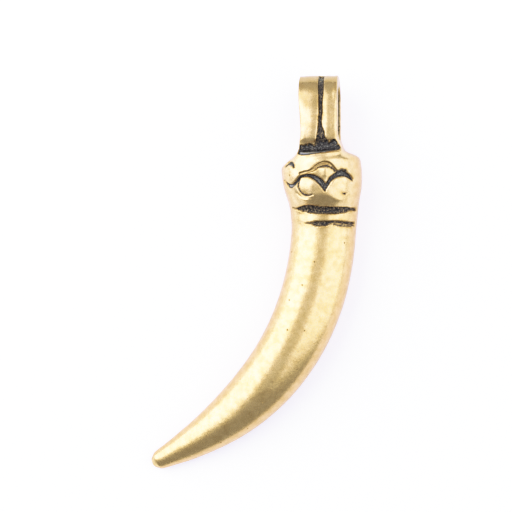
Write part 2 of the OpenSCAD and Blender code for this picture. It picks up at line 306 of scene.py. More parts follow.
def buildCage():
    # one closed cage of four-sided faces: the strap's two legs and arch, the neck, and rings down to
    # the tip. In a section i counts from left to right, and k from front to back.
    cells = len(bail["across"]) - 1
    layers = len(bail["through"]) - 1
    legLayers = bail["legLayers"]
    inner = bail["eyeWidth"] / 2
    outer = inner + bail["thickness"]
    headDepth = tusk["headWidth"] / 2 * tusk["flatness"]
    length = spineLength()
    cage = {name: [] for name in ("position", "station", "angle", "share", "blend", "unrolled", "carved",
                                  "inEye", "brow")}
    faces = []

    def addPoint(position=(0, 0, 0), station=0, angle=0, share=1, blend=0, unrolled=(0, 0, 0),
                 carved=False, inEye=0):
        beside = min(1, (math.sin(angle) / tusk["browTurn"][1 if angle > 0 else 0]) ** 2)
        brow = readTable(tusk["brow"], station) + beside * readTable(tusk["browBeside"], station)
        brow -= readTable(tusk["roll"], station) * math.sin(angle)
        brow *= max(0, math.cos(angle)) ** 2
        for name, value in zip(cage, (position, station, angle, share, blend, unrolled, carved, inEye, brow)):
            cage[name].append(value)
        return len(cage["position"]) - 1

    def sideAt(i, k, height, depth):
        # the front is rounded in at its edges, the sides lean out towards the back, and the strap narrows
        # on its left down to its foot
        across = bail["across"][i]
        if i in (0, cells) and 0 < k < layers:
            across = math.copysign(bail["width"] / 2, across)
        lean = bail["draft"] * (0.5 - np.clip(depth / bail["eyeWidth"], -0.5, 0.5))
        across *= 1 + lean / bail["width"] * 2
        return bail["offset"] + across + readTable(bail["waist"], height) * max(0, across / bail["across"][0])

    def wall(above, below):
        for n in range(len(above)):
            after = (n + 1) % len(above)
            faces.append((above[n], below[n], below[after], above[after]))

    def ringCells(width, depth):
        # the border cells of a grid, from its front left corner to the right and round
        return ([(i, 0) for i in range(width)] + [(width, k) for k in range(depth)]
                + [(i, depth) for i in range(width, 0, -1)] + [(0, k) for k in range(depth, 0, -1)])

    def angleOf(i, k):
        front = tusk["sideAngles"][0]
        if k == 0:
            return -front + 2 * front * i / cells
        if k == layers:
            return 180 + front - 2 * front * i / cells
        return tusk["sideAngles"][k] * (1 if i == cells else -1)

    def wayRound(i, k):
        # round the strap's or the neck's section, from the front line
        if 0 < i < cells:
            return bail["across"][i]
        side = 1 if i == cells else -1
        return side * (bail["width"] / 2 + outer - bail["through"][k])

    def crownAt(i, k, height=0.0):
        return bail["crown"][i] * readTable(bail["crownLeft"], height) if k in (0, layers) else 0

    def rounded(*place):
        # from a circle to the arch's superellipse
        return [math.copysign(abs(part) ** (2 / bail["archSquare"]), part) for part in place]

    def eyeBlackAndShade(i, k, turn=None):
        # the inside of the eye is painted black, its patina together with painted shade, but less so over its
        # arch and at its edges
        if not legLayers <= k <= layers - legLayers:
            return 0
        if turn is not None and turn < math.radians(bail["archBlackUpTo"]):
            return bail["archBlack"]
        return bail["edgeBlack"] if i in (0, cells) else bail["eyeBlack"]

    def strapPoint(i, k, height=None, turn=None, back=False):
        # k counts from the outer face inwards, and turn is the angle over the arch
        out = bail["through"][k]
        if turn is None:
            along = height - 2 * bail["archAt"] - outer * math.pi if back else -height
            up, depth = height, out - crownAt(i, k, height)
            depth = -depth if back else depth
        else:
            along = -bail["archAt"] - outer * turn
            level, rise = rounded(math.cos(turn), math.sin(turn))
            out -= crownAt(i, k, bail["archAt"] + out * rise)
            up, depth = bail["archAt"] + out * rise, out * level
        return addPoint((sideAt(i, k, up, depth), up, headDepth + depth),
                        unrolled=(wayRound(i, k), along, 0), carved=k < 2, inEye=eyeBlackAndShade(i, k, turn))

    def depthAt(i, k, station):
        # the neck's front and back, before it turns to the head's shape
        depth = bail["through"][k]
        depth -= math.copysign(crownAt(i, k), depth)
        share = bail["footShare"].get(k, 0)
        if k == 0:
            share -= bail["footRound"] * (bail["across"][i] / bail["across"][-1]) ** 4
        return depth + share * readTable(bail["footFront"], station)

    # the neck's top, whose edge is the first ring of the neck and of both legs
    top = {}
    for i in range(cells + 1):
        for k in range(layers + 1):
            if i in (0, cells) or k in (0, layers) or legLayers <= k <= layers - legLayers:
                up, depth = bail["neckTop"][k], depthAt(i, k, -bail["neckTop"][k])
                top[i, k] = addPoint((sideAt(i, k, up, depth), up, headDepth + depth),
                                     unrolled=(wayRound(i, k), -up, 0), carved=k < 2, inEye=eyeBlackAndShade(i, k))
    for i in range(cells):
        for k in range(legLayers, layers - legLayers):
            faces.append((top[i, k], top[i + 1, k], top[i + 1, k + 1], top[i, k + 1]))

    # the strap, up the front leg, over the arch and down the back leg
    strapCells = ringCells(cells, legLayers)
    rings = [[top[cell] for cell in strapCells]]
    rings += [[strapPoint(i, k, height=height) for i, k in strapCells] for height in bail["legRings"]]
    turns = [math.pi * n / bail["archSteps"] for n in range(bail["archSteps"] + 1)]
    rings += [[strapPoint(i, k, turn=turn) for i, k in strapCells] for turn in turns]
    rings += [[strapPoint(i, k, height=height, back=True) for i, k in strapCells]
              for height in reversed(bail["legRings"])]
    rings.append([top[i, layers - k] for i, k in strapCells])
    for above, below in zip(rings[1:], rings):
        wall(above, below)

    # the neck, which turns from the strap's shape to the head's, and the rings round the spine
    border = ringCells(cells, layers)
    rings = [[top[cell] for cell in border]]
    stations = [(station, blend, 1.0) for station, blend in bail["neckRings"].items()]
    stations += [(station, 1.0, 1.0) for station in tusk["rings"]]
    for along in tusk["tipRings"]:
        stations.append((length - tusk["tipRound"] * (1 - along), 1.0, math.sqrt(1 - along * along)))
    for station, blend, share in stations:
        ring = []
        for i, k in border:
            flare = bail["flare"].get(station, 0) if i == cells else 0
            if k in (0, layers):
                flare *= bail["cornerFlare"]
            depth = depthAt(i, k, station)
            ring.append(addPoint(
                (sideAt(i, k, 0, depth) + flare, -station, headDepth + depth), station,
                math.radians(angleOf(i, k)), share, blend, (wayRound(i, k), station, 0), k < layers - 2))
        rings.append(ring)
    for above, below in zip(rings, rings[1:]):
        wall(above, below)

    # the tip's end, a grid inside the last ring
    rim = {cell: np.array([math.sin(cage["angle"][p]), math.cos(cage["angle"][p])])
           for cell, p in zip(border, rings[-1])}
    rimShare = stations[-1][2]
    end = dict(zip(border, rings[-1]))
    for i in range(1, cells):
        for k in range(1, layers):
            a, b = i / cells, k / layers
            sides = (1 - a) * rim[0, k] + a * rim[cells, k] + (1 - b) * rim[i, 0] + b * rim[i, layers]
            corners = ((1 - b) * ((1 - a) * rim[0, 0] + a * rim[cells, 0])
                       + b * ((1 - a) * rim[0, layers] + a * rim[cells, layers]))
            place = (sides - corners) * rimShare
            share = float(np.linalg.norm(place))
            station = length - tusk["tipRound"] * (1 - math.sqrt(1 - share * share))
            end[i, k] = addPoint(station=station, angle=math.atan2(*place), share=share, blend=1.0)
    for i in range(cells):
        for k in range(layers):
            faces.append((end[i, k], end[i, k + 1], end[i + 1, k + 1], end[i + 1, k]))

    piece = newPiece("brass_tusk_pendant", cage.pop("position"), faces=faces)
    for name, values in cage.items():
        storeValues(piece, name, values)
    return piece


def settleCage(piece, rounds=8):
    # moves the cage out until its smoothed surface goes through the points that were asked for
    mesh = piece.data
    points = np.empty(len(mesh.vertices) * 3)
    mesh.vertices.foreach_get("co", points)
    points = points.reshape(-1, 3)
    quads = np.array([face.vertices[:] for face in mesh.polygons])
    valence = np.bincount(quads.ravel())[:, None]
    asked = points.copy()
    for _ in range(rounds):
        beside = np.zeros_like(points)
        opposite = np.zeros_like(points)
        for corner in range(4):
            near = points[quads[:, (corner + 1) % 4]] + points[quads[:, (corner + 3) % 4]]
            np.add.at(beside, quads[:, corner], near)
            np.add.at(opposite, quads[:, corner], points[quads[:, (corner + 2) % 4]])
        smoothed = (valence ** 2 * points + 2 * beside + opposite) / (valence * (valence + 5))
        points += asked - smoothed
    mesh.vertices.foreach_set("co", points.ravel())


pendant = buildCage()
values = {"Root": spineRoot, "Root Handle": rootHandle, "Tip Handle": tipHandle, "Tip": spineTip}
values.update({label: float(tusk[name]) for label, name in sweepSizes.items()})
runTree(pendant, sweepTree(), values)
settleCage(pendant)
print("cage laid round the spine:", len(pendant.data.polygons), "faces")


# The relief is cut in strokes: rows of (way round, way down, half width) on the unrolled skin.
# A family with a depth under zero is raised, and one without a look has the metal's own colour.
relief = {
    "Grooves": {"depth": 0.42, "wall": 0.22, "ragged": 0.07, "look": "black", "strokes": [
        [(-6.11, 3.98, 0.05), (-5.59, 4.35, 0.16), (-5.05, 4.75, 0.28), (-4.56, 4.95, 0.35),
         (-3.94, 4.8, 0.28), (-3.24, 4.4, 0.22), (-2.82, 4, 0.2), (-2.53, 3.74, 0.2)],
        [(-2.53, 3.74, 0.2), (-2.09, 3.66, 0.2), (-1.64, 3.62, 0.22), (-1.1, 3.73, 0.25),
         (-0.61, 3.98, 0.28), (-0.28, 4.27, 0.33), (0.08, 4.66, 0.37), (0.36, 5.18, 0.32), (0.5, 5.6, 0.25),
         (0.58, 5.98, 0.13)],
        [(0.6, 5.83, 0.12), (0.79, 5.36, 0.22), (1.08, 4.84, 0.26), (1.45, 4.4, 0.28), (1.96, 4.07, 0.3),
         (2.48, 3.87, 0.36), (3.09, 3.8, 0.4), (3.7, 3.95, 0.36), (4.3, 4.26, 0.3), (4.9, 4.75, 0.14)],
        [(-5.31, 1.78, 0.24), (-4.76, 1.5, 0.26), (-4.08, 1.54, 0.27), (-3.6, 1.84, 0.24),
         (-3.46, 2.2, 0.15)]]},
    "Lines": {"depth": 0.3, "wall": 0.14, "ragged": 0.05, "look": "black", "strokes": [
        [(-2.55, 3.88, 0.12), (-2.81, 4.44, 0.12), (-2.99, 5.02, 0.13), (-2.9, 5.54, 0.14),
         (-2.61, 5.99, 0.13), (-2.24, 6.33, 0.13), (-1.8, 6.48, 0.13), (-1.37, 6.52, 0.11),
         (-0.9, 6.45, 0.06)],
        [(2.9, 6.42, 0.02), (3.34, 6.5, 0.13), (3.6, 6.42, 0.07), (4, 6.3, 0.02)]]},
    "Arc": {"depth": 0.22, "wall": 0.14, "ragged": 0.16, "look": "flecked", "strokes": [
        [(-0.35, 2.95, 0.08), (-0.1, 2.7, 0.1), (0.26, 2.6, 0.1), (0.62, 2.62, 0.1), (0.92, 2.56, 0.14),
         (1.3, 2.7, 0.13), (1.63, 2.82, 0.15), (1.85, 3.05, 0.15), (2.01, 3.43, 0.14)]]},
    "Field": {"depth": 0.2, "wall": 0.2, "ragged": 0.04, "look": "brown", "strokes": [
        [(-2.45, 3.3, 0.2), (-1.86, 3.18, 0.2), (-1.3, 3.12, 0.17), (-0.85, 3, 0.19), (-0.45, 2.8, 0.26),
         (0, 2.45, 0.28), (0.42, 2.27, 0.3), (0.83, 2.22, 0.3), (1.25, 2.38, 0.28), (1.6, 2.62, 0.24),
         (1.92, 2.98, 0.2), (2.2, 3.3, 0.16)]]},
    "Bands": {"depth": 0.4, "wall": 0.22, "ragged": 0.12, "look": "flecked", "strokes": [
        [(-4.8, 8.19, 0.08), (-3.79, 8.43, 0.14), (-2.59, 8.45, 0.4), (-1.36, 8.51, 0.54),
         (-0.33, 8.65, 0.49), (0.85, 8.7, 0.49), (2.07, 8.67, 0.42), (3.35, 8.58, 0.34), (4.31, 8.5, 0.2),
         (4.9, 8.5, 0.22), (5.65, 8.52, 0.2)],
        [(-2.13, 10.56, 0.05), (-1.24, 10.5, 0.15), (-0.7, 10.58, 0.34), (0.48, 10.5, 0.34),
         (1.37, 10.24, 0.16), (2.08, 10.24, 0.16), (3.37, 10.28, 0.18), (4.62, 10.32, 0.2),
         (5.37, 10.4, 0.26)]]},
    "Specks": {"depth": 0.16, "wall": 0.2, "ragged": 0.3, "look": "flecked", "strokes": [
        [(1.3, 10.6, 0.06), (2.2, 10.66, 0.12), (3.4, 10.68, 0.14), (4.7, 10.66, 0.12)],
        [(2.2, 3.52, 0.1), (2.9, 3.38, 0.16), (3.5, 3.42, 0.14), (4, 3.56, 0.06)]]},
    "Crevice": {"depth": 0.6, "wall": 0.26, "ragged": 0.06, "look": "black", "strokes": [
        [(-2.62, 0.12, 0.42), (-1.95, 0.14, 0.62), (-1.1, 0.11, 0.66), (-0.3, 0.05, 0.59),
         (0.5, -0.04, 0.52), (1.25, -0.08, 0.5), (1.8, -0.14, 0.46), (2.65, -0.22, 0.42),
         (3, -0.32, 0.34)]]},
    "Ragged Lip": {"depth": 0.5, "wall": 0.24, "ragged": 0.42, "look": "black", "strokes": [
        [(-2.6, -0.42, 0.12), (-1.95, -0.45, 0.15), (-1.1, -0.5, 0.18), (-0.35, -0.5, 0.14),
         (0.1, -0.6, 0.2), (0.5, -0.7, 0.25), (1.1, -0.66, 0.26), (1.7, -0.7, 0.24), (2.15, -0.95, 0.28),
         (2.5, -0.9, 0.22)]]},
    # painted shade: brown under the crevice's lip, over a shallow cut
    "Lip Shade": {"depth": 0.05, "wall": 0.2, "ragged": 0.1, "look": "brown", "strokes": [
        [(-2.1, 0.56, 0.2), (-1, 0.56, 0.22), (0, 0.52, 0.22), (1.2, 0.5, 0.22), (2.4, 0.44, 0.2),
         (3.2, 0.34, 0.14)]]},
    "Rib Groove": {"depth": 0.45, "wall": 0.24, "ragged": 0.16, "look": "flecked", "strokes": [
        [(0.53, -0.8, 0.95), (0.46, -1.59, 0.64), (0.45, -2.43, 0.5), (0.36, -3.1, 0.32),
         (0.35, -4.01, 0.25), (0.43, -5.16, 0.27), (0.44, -6.3, 0.27), (0.45, -7.47, 0.34),
         (0.46, -8.75, 0.4), (0.4, -10.4, 0.4), (0.36, -12.4, 0.38)]]},
    "Lobes": {"depth": -0.11, "wall": 1.3, "ragged": 0, "strokes": [
        [(-1.5, 4.95, 0.9), (-1.25, 5, 0.9)],
        [(2.6, 5.1, 1), (3.1, 5.2, 1)]]},
    "Left Lip": {"depth": -0.12, "wall": 0.4, "ragged": 0, "strokes": [
        [(-3.35, 6.3, 0.05), (-2.9, 6.8, 0.12), (-2.3, 7.1, 0.15), (-1.7, 7.2, 0.12), (-1.2, 7.15, 0.04)]]},
    "Drop": {"depth": -0.14, "wall": 0.9, "ragged": 0, "strokes": [
        [(0.82, 3.25, 0.5), (0.82, 3.75, 0.4)]]},
    # raised ridges in the crevice and the grooves, and on them a painted grey-blue sheen, a painted highlight
    "Ridges": {"depth": -0.18, "wall": 0.18, "ragged": 0.06, "look": "sheen", "strokes": [
        [(-2.5, 0.14, 0.1), (-1.1, 0.1, 0.13), (0.2, -0.02, 0.08), (1.2, -0.1, 0.1), (2.4, -0.2, 0.06)],
        [(-0.3, 4.25, 0.02), (-0.08, 4.5, 0.04), (0.22, 5, 0.02)],
        [(-4.9, 1.72, 0.08), (-4.35, 1.62, 0.12), (-3.85, 1.85, 0.06)],
        [(-5.1, 4.82, 0.1), (-4.6, 5.02, 0.15), (-4.1, 4.9, 0.08)]]},
}
surface = {
    "level": 3,
    "strokeStep": 0.04,
    "wallOutside": 0.4,  # share of a cut's wall that lies outside its stroke's edge
    "floorGrain": 0.3,  # size of the lumps on the floor of a cut
    "floorRough": 0.14,
    "floorEdge": 0.12,  # how far inside a cut the lumps are at their full height
    "waveSize": 4.0,  # the hand-finished wax is never quite even
    "waveHeight": 0.04,
    "eyeReach": 0.45,  # from the black of the eye to the next edge of the strap
    "eyeRim": 0.85,  # the inEye value where the black ends
    "noStroke": 9,  # this far outside every stroke is as good as never
    "noCarving": 50,  # how much farther outside the plain sides are held
}
# the number inputs of the tree that carves the relief, and their settings
carvingSizes = {"Step": "strokeStep", "Floor Grain": "floorGrain", "Floor Rough": "floorRough",
                "Floor Edge": "floorEdge", "Wave Size": "waveSize", "Wave Height": "waveHeight",
                "Eye Reach": "eyeReach", "Eye Rim": "eyeRim"}


def strokePiece(name, strokes):
    # a stroke is a chain of points, each with its half width
    points = []
    edges = []
    for stroke in strokes:
        start = len(points)
        points += stroke
        edges += [(n, n + 1) for n in range(start, len(points) - 1)]
    piece = newPiece(name, [(across, down, 0) for across, down, half in points], edges=edges)
    storeValues(piece, "halfWidth", [half for across, down, half in points])
    return piece


def strokeReach():
    # how far inside the nearest stroke a place on the skin lies, or outside it where negative
    tree, given = newTree("Stroke Reach", {
        "Strokes": "Object", "Skin": "Vector", "Step": "Float", "Ragged": "Float", "Grain": "Float"},
        {"Reach": "Float"})
    size = given.outputs
    drawn = addNode(tree, "GeometryNodeObjectInfo", {"Object": size["Strokes"]})
    curves = addNode(tree, "GeometryNodeMeshToCurve", {"Mesh": drawn.outputs["Geometry"]})
    smooth = addNode(tree, "GeometryNodeCurveSplineType", {"Curve": curves}, spline_type="CATMULL_ROM")
    points = addNode(tree, "GeometryNodeCurveToPoints", {"Curve": smooth, "Length": size["Step"]},
                     mode="LENGTH")
    scale = addNode(tree, "ShaderNodeMath", (1, size["Grain"]), operation="DIVIDE")
    noise = addNode(tree, "ShaderNodeTexNoise", {"Vector": size["Skin"], "Scale": scale, "Detail": 2})
    # the noise breaks the edges, with a shift within the skin of the raggedness at most
    centred = addNode(tree, "ShaderNodeVectorMath", (noise.outputs["Color"], (0.5, 0.5, 0.5)),
                      operation="SUBTRACT")
    shift = addNode(tree, "ShaderNodeVectorMath", (centred, size["Ragged"]), operation="SCALE")
    flat = addNode(tree, "ShaderNodeVectorMath", (shift, (2, 2, 0)), operation="MULTIPLY")
    place = addNode(tree, "ShaderNodeVectorMath", (size["Skin"], flat), operation="ADD")
    nearest = addNode(tree, "GeometryNodeSampleNearest", {
        "Geometry": points.outputs["Points"], "Sample Position": place})
    spot = addNode(tree, "GeometryNodeInputPosition")
    width = addNode(tree, "GeometryNodeInputNamedAttribute", ("halfWidth",), data_type="FLOAT")
    centre, half = [
        addNode(tree, "GeometryNodeSampleIndex", {
            "Geometry": points.outputs["Points"], "Value": value, "Index": nearest}, data_type=kind)
        for value, kind in ((spot, "FLOAT_VECTOR"), (width, "FLOAT"))]
    away = addNode(tree, "ShaderNodeVectorMath", (place, centre), operation="DISTANCE")
    reach = addNode(tree, "ShaderNodeMath", (half, away), operation="SUBTRACT")
    addNode(tree, "NodeGroupOutput", (reach,))
    return tree


def carvingTree():
    inputs = {"Geometry": "Geometry", "Level": "Int", "Material": "Material"}
    inputs.update({label: "Float" for label in carvingSizes})
    for label in relief:
        inputs[label] = "Object"
        inputs.update({label + part: "Float" for part in (" Depth", " Wall", " Ragged")})
    tree, given = newTree("Carve Relief", inputs)
    size = given.outputs
    reachOf = strokeReach()
    smooth = addNode(tree, "GeometryNodeSubdivisionSurface", (size["Geometry"], size["Level"]))
    skin = addNode(tree, "GeometryNodeInputNamedAttribute", ("unrolled",), data_type="FLOAT_VECTOR")
    carved, blend, inEye = [
        addNode(tree, "GeometryNodeInputNamedAttribute", (name,), data_type="FLOAT")
        for name in ("carved", "blend", "inEye")]
    uncarved = addNode(tree, "ShaderNodeMath", (carved, 0.5), operation="LESS_THAN")
    farOut = addNode(tree, "ShaderNodeMath", (uncarved, surface["noCarving"]), operation="MULTIPLY")

    # how far each place is sunk or raised, and how far inside each look's strokes it lies
    inRim = addNode(tree, "ShaderNodeMath", (inEye, size["Eye Rim"]), operation="SUBTRACT")
    sunk = addNode(tree, "ShaderNodeValue")
    raised = sunk
    looks = {look: addNode(tree, "ShaderNodeMath", (sunk, surface["noStroke"]), operation="SUBTRACT")
             for look in ("flecked", "brown", "sheen")}
    looks["black"] = addNode(tree, "ShaderNodeMath", (inRim, size["Eye Reach"]), operation="MULTIPLY")
    for label, cut in relief.items():
        found = addNode(tree, "GeometryNodeGroup", node_tree=reachOf)
        for source, socket in zip((size[label], skin.outputs["Attribute"], size["Step"],
                                   size[label + " Ragged"], size["Floor Grain"]), found.inputs):
            tree.links.new(source, socket)
        reach = addNode(tree, "ShaderNodeMath", (found, farOut), operation="SUBTRACT")
        brink, floor = [
            addNode(tree, "ShaderNodeMath", (size[label + " Wall"], part), operation="MULTIPLY")
            for part in (-surface["wallOutside"], 1 - surface["wallOutside"])]
        depth = addNode(tree, "ShaderNodeMapRange", {
            "Value": reach, "From Min": brink, "From Max": floor, "To Max": size[label + " Depth"]},
            interpolation_type="SMOOTHSTEP")
        if cut["depth"] > 0:
            sunk = addNode(tree, "ShaderNodeMath", (sunk, depth), operation="MAXIMUM")
        else:
            raised = addNode(tree, "ShaderNodeMath", (raised, depth), operation="MINIMUM")
        if "look" in cut:
            look = looks[cut["look"]]
            looks[cut["look"]] = addNode(tree, "ShaderNodeMath", (look, reach), operation="MAXIMUM")

    # lumps on the floors of the cuts, and the slow waves of hand-finished wax
    place = addNode(tree, "GeometryNodeInputPosition")
    uneven = []
    for label, detail in (("Floor Grain", 3), ("Wave Size", 1)):
        scale = addNode(tree, "ShaderNodeMath", (1, size[label]), operation="DIVIDE")
        noise = addNode(tree, "ShaderNodeTexNoise", {"Vector": place, "Scale": scale, "Detail": detail})
        uneven.append(addNode(tree, "ShaderNodeMath", (noise, 0.5), operation="SUBTRACT"))
    lumpy, wavy = uneven
    darkest = addNode(tree, "ShaderNodeMath", (looks["black"], looks["flecked"]), operation="MAXIMUM")
    inCut = addNode(tree, "ShaderNodeMapRange", {
        "Value": darkest, "From Min": 0, "From Max": size["Floor Edge"], "To Max": size["Floor Rough"]})
    rough = addNode(tree, "ShaderNodeMath", (lumpy, inCut), operation="MULTIPLY")
    lift = addNode(tree, "ShaderNodeMath", (wavy, size["Wave Height"], rough), operation="MULTIPLY_ADD")
    hollow = addNode(tree, "ShaderNodeMath", (sunk, raised), operation="ADD")
    lifted = addNode(tree, "ShaderNodeMath", (lift, hollow), operation="SUBTRACT")
    # the strap and the neck are cut straight in, so that their sides stay plain
    inwards = addNode(tree, "ShaderNodeCombineXYZ", (blend, 1, 1))
    normal = addNode(tree, "GeometryNodeInputNormal")
    straight = addNode(tree, "ShaderNodeVectorMath", (normal, inwards), operation="MULTIPLY")
    offset = addNode(tree, "ShaderNodeVectorMath", (straight, lifted), operation="SCALE")
    marked = smooth
    for look in ("black", "flecked", "brown", "sheen"):
        marked = addNode(tree, "GeometryNodeStoreNamedAttribute", {
            "Geometry": marked, "Name": look + "Reach", "Value": looks[look]},
            data_type="FLOAT", domain="POINT")
    moved = addNode(tree, "GeometryNodeSetPosition", {"Geometry": marked, "Offset": offset})
    shaded = addNode(tree, "GeometryNodeSetShadeSmooth", {"Geometry": moved})
    real = addNode(tree, "GeometryNodeRealizeInstances", (shaded,))
    finished = addNode(tree, "GeometryNodeSetMaterial", {"Geometry": real, "Material": size["Material"]})
    addNode(tree, "NodeGroupOutput", (finished,))
    return tree


def emptyTree(owner):
    # the node tree of a material or a world, with nothing in it
    owner.use_nodes = True
    owner.node_tree.nodes.clear()
    return owner.node_tree


def linear(colour):
    # a hex colour as it is seen on screen, turned to the linear values that light is worked out in
    channels = [int(colour[n:n + 2], 16) / 255 for n in (1, 3, 5)]
    return tuple(c / 12.92 if c <= 0.04045 else ((c + 0.055) / 1.055) ** 2.4 for c in channels) + (1.0,)


brass = {
    "colour": "#ebcb99",
    "warmer": "#e7c690",
    "pale": "#eaccab",  # the strap and the head, handled the most
    "flank": "#dcb68a",  # the sides, darker and pinker
    "shadedTopColour": "#b19770",  # painted shade on the top of the strap, where its arch turns away from the light
    "tarnish": "#b08a4c",
    "brown": "#86632f",
    "black": "#2f2c30",
    "glint": "#a2a3ad",
    # noise patterns: size in mm, detail
    "patterns": {"clouds": (3.5, 3), "smudges": (0.9, 5), "crumbs": (0.14, 3), "flecks": (0.15, 2),
                 "grain": (0.35, 4)},
    # shares: the value where each starts and where it is full, then its least and most if not 0 and 1.
    # The values are levels of noise, or mm across, down or inside a stroke.
    "cloudy": (0.35, 0.65),
    "nearBail": (13, 8, 0, 0.22),
    "onFlank": (0.8, 0.95),  # by the sine of the angle
    "flankGrowth": 0.004,  # and by so much more for each mm down
    "inTopShade": (4.6, 6.6, 0, 0.8),  # mm over the foot of the bail
    "topRagged": 3,  # mm that the clouds shift it
    "besideGroove": (-2.6, -1.6, 0, 1.1),  # how much lower it comes, in mm, on the left rib
    "ribEdge": 0.45,
    "besideCut": (-0.7, -0.02, 0, 0.75),
    "smudged": (0.38, 0.66),
    "inFieldAndLipShade": (-0.06, 0.06, 0, 0.45),
    "brownEdge": 0.02,
    "onBrownEdge": (0.02, 0.1, 0.95, 0),
    "inBlack": (-0.02, 0.03),
    "blackBroken": 0.16,
    "inFlecked": (-0.03, 0.04),
    "fleckedBroken": 0.5,
    "bare": (0.57, 0.64, 1, 0.35),  # flecks of bare metal in the bands
    "glints": (0.52, 0.78),
    "onRidge": (-0.06, 0.08),
    # spots left by the casting: way round, way down, radius
    "pits": [(-4.4, 3.3, 0.14), (-4.67, 15.11, 0.14), (3.4, 13.07, 0.13), (-1.31, 19.67, 0.12),
             (-2.57, 22.38, 0.13), (1.59, 37.04, 0.11), (3.22, 41.14, 0.12), (2.3, 45.28, 0.15),
             (-0.38, 16.07, 0.11), (-1.09, 26.57, 0.13), (0.82, 25.64, 0.11)],
    "pitCore": 0.6,  # share of the radius that is fully dark
    # the finest relief: its height in mm, and each part of it against the grain
    "bumpHeight": 0.012,
    "lines": 0.25,
    "lineSize": (0.09, 1.6),  # width and length in mm: polishing lines are finer, but would not show
    "pitRelief": -4,
    "crumbRelief": 5,
    "roughness": (0.21, 0.33),
    "blackRoughness": 0.4,
    "blackMetallic": 0.85,
}


